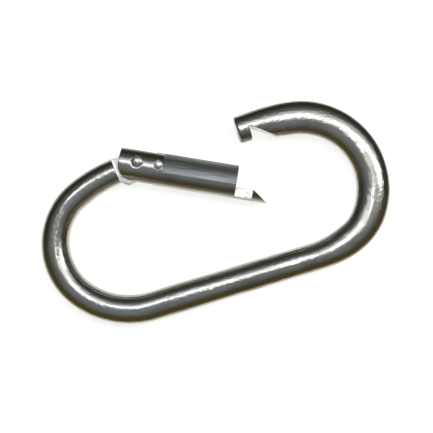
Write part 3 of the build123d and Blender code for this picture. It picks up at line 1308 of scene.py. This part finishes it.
@dataclass
class PlungerPin(Part):
    """The small cross pin that keeps the plunger in its bore."""

    name = "plunger_cross_pin"
    node = "plunger_pin"
    body = "gate"
    slot = "pin_steel"
    skin: SteelFinish = PEENED_END
    along: float = 9.75
    shank: float = 1.5
    head: float = 2.1
    head_depth: float = 1.4
    top: float = 7.22               # crown of the head, from the middle plane
    dome: float = 0.30              # how far the crown stands over the head's edge
    ease: float = 0.25              # rounding of the edge
    segments: int = 48

    def place(self) -> Matrix:
        """Frame behind the pivot with X along the pin."""
        return self.hinge.cross_place(self.along)

    def build(self) -> Piece:
        """Turn the pin: a shank between two low domed heads with eased edges."""
        ledge = self.top - self.head_depth
        steps = 5
        brow = self.head - self.ease
        top = [(ledge, self.shank), (ledge, self.head)]
        for i in range(steps + 1):
            turn = math.radians(90 * i / steps)
            top.append((self.top - self.dome - self.ease * (1 - math.sin(turn)),
                        brow + self.ease * math.cos(turn)))
        for share in (0.85, 0.7, 0.55, 0.4, 0.25, 0.1, 0.03):
            top.append((self.top - self.dome * share ** 2, brow * share))
        return self.turned([(-z, r) for z, r in reversed(top)] + top)


@dataclass
class Plunger(Part):
    """The plunger that the tang's rounded end pushes back as the gate opens."""

    name = "spring_plunger"
    node = "plunger"
    body = "plunger"
    slot = "plunger_steel"
    skin: SteelFinish = TURNED_PLUNGER
    face: float = 6.2
    radius: float = 4.0
    length: float = 9.4
    spigot: tuple[float, float] = (2.2, 4.0)
    pin_slot: tuple[float, float, float] = (1.0, 6.75, 1.55)    # start, end, half its width
    chamfer: float = 0.4
    segments: int = 64

    def build(self) -> Piece:
        """Turn the plunger and cut the slot for its pin.

        Returns:
            The plunger.
        """
        back = self.face + self.length
        inner, reach = self.spigot
        profile = [
            (self.face, self.radius - self.chamfer), (self.face + self.chamfer, self.radius),
            (self.face + 3.0, self.radius), (self.face + 6.0, self.radius),
            (back - self.chamfer, self.radius), (back, self.radius - self.chamfer),
            (back, inner), (back + reach - self.chamfer, inner),
            (back + reach, inner - self.chamfer),
        ]
        piece = self.turned(profile)
        low, high, half = self.pin_slot
        first, second = self.face + low + half, self.face + high - half
        outline = (arc((second, 0.0), half, -90, 180, 16) + arc((first, 0.0), half, 90, 180, 16))
        through = prism(outline, -self.radius - 2, self.radius + 2, self.hinge.gate_place())
        work(piece, [(Cut.REMOVE, through)], self.skin.material())
        return piece


@dataclass
class Spring(Part):
    """The coil spring behind the plunger."""

    name = "plunger_spring"
    node = "spring"
    body = "gate"
    slot = "spring_steel"
    skin: SteelFinish = SPRING_WIRE
    start: float = 15.63            # the plunger's end of it, from the pivot
    end: float = 35.97              # and the end in the bore
    coil_radius: float = 3.2
    wire_radius: float = 0.7
    turns: float = 8.0
    round_steps: int = 14
    steps_per_turn: int = 40

    def coil_tree(self) -> Tree:
        """Geometry Nodes that wind a round wire into a coil.

        Returns:
            The tree. Its inputs are the turns, coil radius, length, wire radius and material.
        """
        tree, given = open_tree("wound_coil", {
            "Shape": "Geometry", "Turns": "Float", "Coil Radius": "Float", "Length": "Float",
            "Wire Radius": "Float", "Material": "Material"}, "Coil")
        coil = add_node(tree, "GeometryNodeCurveSpiral", {"Resolution": self.steps_per_turn}, {
            "Rotations": given.outputs["Turns"], "Start Radius": given.outputs["Coil Radius"],
            "End Radius": given.outputs["Coil Radius"], "Height": given.outputs["Length"]})
        wire = add_node(tree, "GeometryNodeCurvePrimitiveCircle",
                        {"Resolution": self.round_steps},
                        {"Radius": given.outputs["Wire Radius"]})
        swept = add_node(tree, "GeometryNodeCurveToMesh", {"Fill Caps": True},
                         {"Curve": coil.outputs[0], "Profile Curve": wire.outputs[0]})
        close_tree(tree, swept.outputs[0], given.outputs["Material"])
        return tree

    def join_body(self, piece: Piece) -> None:
        """Bake the spring's place into its mesh; it is joined to no body.

        Args:
            piece: the spring.
        """
        axis = self.place()
        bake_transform(piece)

    def build(self) -> Piece:
        """Wind the spring and lay it in the bore.

        Returns:
            The spring.
        """
        piece = object_of(self.name, bpy.data.meshes.new(self.name))
        length = self.end - self.start - 2 * self.wire_radius
        grow(piece, self.coil_tree(), (
            self.turns, self.coil_radius * MM, length * MM, self.wire_radius * MM,
            self.skin.material()))
        foot = Matrix.Translation(((self.start + self.wire_radius) * MM, 0.0, 0.0))
        piece.data.transform(self.place() @ foot @ Matrix.Rotation(math.pi / 2, 4, "Y"))
        return piece


# ------------------------------------------------------------------ studio
@dataclass(frozen=True)
class Softbox:
    """A rectangular soft light aimed at the hook."""

    name: str
    lean: float                     # degrees from straight up
    bearing: float                  # degrees round from the view's up direction
    distance: float                 # metres
    width: float
    height: float
    radiance: float
    tint: str = "FFFFFF"

    def place(self, up: Vector, right: Vector, aim: Vector) -> None:
        """Set the light up.

        Args:
            up: the view's up direction, flat on the floor.
            right: the view's right direction.
            aim: the point that it lights.
        """
        light = bpy.data.lights.new(self.name, "AREA")
        light.shape = "RECTANGLE"
        light.size, light.size_y = self.width, self.height
        light.energy = self.radiance * math.pi * self.width * self.height
        light.color = linear(self.tint)[:3]
        lamp = bpy.data.objects.new(self.name, light)
        bpy.context.scene.collection.objects.link(lamp)
        turn, lean = math.radians(self.bearing), math.radians(self.lean)
        level = up * math.cos(turn) + right * math.sin(turn)
        back = level * math.sin(lean) + Vector((0, 0, 1)) * math.cos(lean)
        side = (right - back * right.dot(back)).normalized()
        lamp.matrix_world = frame_matrix(side, back.cross(side), back, aim + back * self.distance)


def frame_matrix(right: Vector, up: Vector, back: Vector, spot: Vector) -> Matrix:
    """Matrix with the given axes and origin."""
    turned = Matrix((right, up, back)).transposed().to_4x4()
    turned.translation = spot
    return turned


@dataclass(frozen=True)
class Studio:
    """The pale floor, the backdrop, the surroundings, the lights and the camera."""

    azimuth: float = -16.8
    elevation: float = 89.0
    distance: float = 0.428
    lens: float = 78.7
    aim: tuple[float, float, float] = (0.13, -2.6, 7.55)
    floor_colour: str = "F4F4F2"
    floor_size: float = 3.0
    floor_glow: float = 0.80
    wall_glow: float = 0.85
    wall_height: float = 3.0
    softboxes: tuple[Softbox, ...] = (
        Softbox("window", 20.0, 42.0, 1.0, 1.60, 0.20, 2.5, "E9F0FF"),
        Softbox("window_glow", 27.0, 32.0, 1.2, 1.90, 0.62, 0.62, "F4F6FC"),
        Softbox("sun_patch", 42.0, 74.0, 1.0, 0.42, 0.26, 2.0, "FFF8E4"),
        Softbox("lamp", 5.0, 40.0, 1.1, 0.20, 0.12, 4.2, "FFFDF4"),
    )

    def directions(self) -> tuple[Vector, Vector, Vector]:
        """The camera's right, up and backward directions.

        Returns:
            The three directions.
        """
        turn, rise = math.radians(self.azimuth), math.radians(self.elevation)
        back = Vector((math.sin(turn) * math.cos(rise), -math.cos(turn) * math.cos(rise),
                       math.sin(rise)))
        right = Vector((math.cos(turn), math.sin(turn), 0.0))
        return right, back.cross(right), back

    def level_up(self) -> Vector:
        """The view's up direction, laid flat on the floor."""
        up = self.directions()[1]
        return Vector((up.x, up.y, 0.0)).normalized()

    def place_camera(self) -> None:
        """Put the camera over the hook."""
        right, up, back = self.directions()
        camera = bpy.data.cameras.new("camera")
        camera.lens = self.lens
        camera.sensor_width = 36.0
        camera.clip_start = 0.01
        camera.clip_end = 20.0
        holder = bpy.data.objects.new("camera", camera)
        bpy.context.scene.collection.objects.link(holder)
        aim = Vector(self.aim) * MM
        holder.matrix_world = frame_matrix(right, up, back, aim + back * self.distance)
        bpy.context.scene.camera = holder

    def pale(self, glow: float) -> Material:
        """Matt pale paint with a slight glow of its own, as a light table has.

        Args:
            glow: strength of the glow.

        Returns:
            The material.
        """
        made = bpy.data.materials.new("pale_light_table")
        made.use_nodes = True
        shader = made.node_tree.nodes["Principled BSDF"]
        shader.inputs["Base Color"].default_value = linear(self.floor_colour)
        shader.inputs["Roughness"].default_value = 1.0
        shader.inputs["Specular IOR Level"].default_value = 0.0
        shader.inputs["Emission Color"].default_value = linear(self.floor_colour)
        shader.inputs["Emission Strength"].default_value = glow
        return made

    def lay_floor(self) -> None:
        """Lay the floor under the hook, with a wall far behind it on all sides."""
        shape = bmesh.new()
        bmesh.ops.create_circle(shape, cap_ends=True, segments=64, radius=self.floor_size)
        floor = object_of("floor", mesh_of("floor", shape))
        floor.data.materials.append(self.pale(self.floor_glow))
        floor.visible_glossy = False
        wall_shape = bmesh.new()
        bmesh.ops.create_cone(wall_shape, segments=64, radius1=self.floor_size,
                              radius2=self.floor_size, depth=self.wall_height)
        bmesh.ops.translate(wall_shape, verts=wall_shape.verts[:],
                            vec=(0, 0, self.wall_height / 2))
        wall = object_of("backdrop", mesh_of("backdrop", wall_shape))
        wall.data.materials.append(self.pale(self.wall_glow))
        for ray in ("diffuse", "glossy", "transmission", "volume_scatter", "shadow"):
            setattr(wall, f"visible_{ray}", False)

    def surround(self) -> None:
        """Surround the hook with a dim room: grey above, dark towards the horizon."""
        world = bpy.data.worlds.new("dim_room")
        bpy.context.scene.world = world
        world.use_nodes = True
        tree = world.node_tree
        tree.nodes.clear()
        toward = add_node(tree, "ShaderNodeTexCoord").outputs["Generated"]
        parts = add_node(tree, "ShaderNodeSeparateXYZ", links={0: toward})
        lifted = add_node(tree, "ShaderNodeMapRange", {1: -1.0, 2: 1.0}, {0: parts.outputs["Z"]})
        shades = [self.shade_ramp(tree, lifted.outputs[0], stops) for stops in (COOL, WARM)]
        level = add_node(tree, "ShaderNodeVectorMath", {
            "operation": "DOT_PRODUCT", 1: self.level_up()}, {0: toward})
        side = add_node(tree, "ShaderNodeMapRange", {
            "interpolation_type": "SMOOTHSTEP", 1: 0.12, 2: -0.30}, {0: level.outputs["Value"]})
        mixed = add_node(tree, "ShaderNodeMix", {"data_type": "RGBA"}, {
            0: side.outputs[0], 6: shades[0], 7: shades[1]})
        glow = add_node(tree, "ShaderNodeBackground", {"Strength": 1.0},
                        {"Color": mixed.outputs[2]})
        add_node(tree, "ShaderNodeOutputWorld", links={"Surface": glow.outputs[0]})

    @staticmethod
    def shade_ramp(tree: Tree, height: Socket,
                   stops: tuple[tuple[float, str, float], ...]) -> Socket:
        """Colour by height.

        Args:
            tree: the world's tree.
            height: 0 straight down, 1 straight up.
            stops: height, colour and strength of each stop.

        Returns:
            The colour.
        """
        ramp = add_node(tree, "ShaderNodeValToRGB", links={0: height})
        points = ramp.color_ramp.elements
        while len(points) < len(stops):
            points.new(0.5)
        for point, (spot, colour, strength) in zip(points, stops):
            point.position = spot
            point.color = (*(strength * c for c in linear(colour)[:3]), 1.0)
        return ramp.outputs[0]

    def build(self) -> None:
        """Set up everything round the hook."""
        self.lay_floor()
        self.surround()
        right = self.directions()[0]
        for softbox in self.softboxes:
            softbox.place(self.level_up(), right, Vector((0.0, 0.0, self.aim[2] * MM)))
        self.place_camera()


# Height from 0 (straight down) to 1 (straight up), colour and strength
COOL = ((0.0, "FFFFFF", 1.0), (0.20, "F2F4F6", 1.0), (0.28, "A6A69A", 1.0),
        (0.34, "3A3930", 1.0), (0.62, "34362F", 1.0), (0.78, "545955", 1.0),
        (0.91, "70777B", 1.0), (1.0, "858C92", 1.0))
WARM = ((0.0, "FFFFFF", 1.0), (0.20, "F2F0EA", 1.0), (0.28, "B4AE90", 1.0),
        (0.36, "5C5432", 1.0), (0.66, "544A2C", 1.0), (0.78, "5E5C50", 1.0),
        (0.91, "787E80", 1.0), (1.0, "858C92", 1.0))


def main() -> None:
    """Build the hook piece by piece, then the studio."""
    logging.basicConfig(level=logging.INFO, format="%(message)s")
    hinge = Hinge.from_frame()
    for kind in (BentBar, Gate, PivotRivet, PlungerPin, Plunger, Spring):
        part = kind(hinge)
        piece = part.build()
        part.dress(piece)
        triangles = sum(len(face.vertices) - 2 for face in piece.data.polygons)
        log.info("%s stands for %s: %d triangles", part.name, part.node, triangles)
    Studio().build()
    bpy.context.scene.view_settings.view_transform = "Standard"


if __name__ == "__main__":
    main()
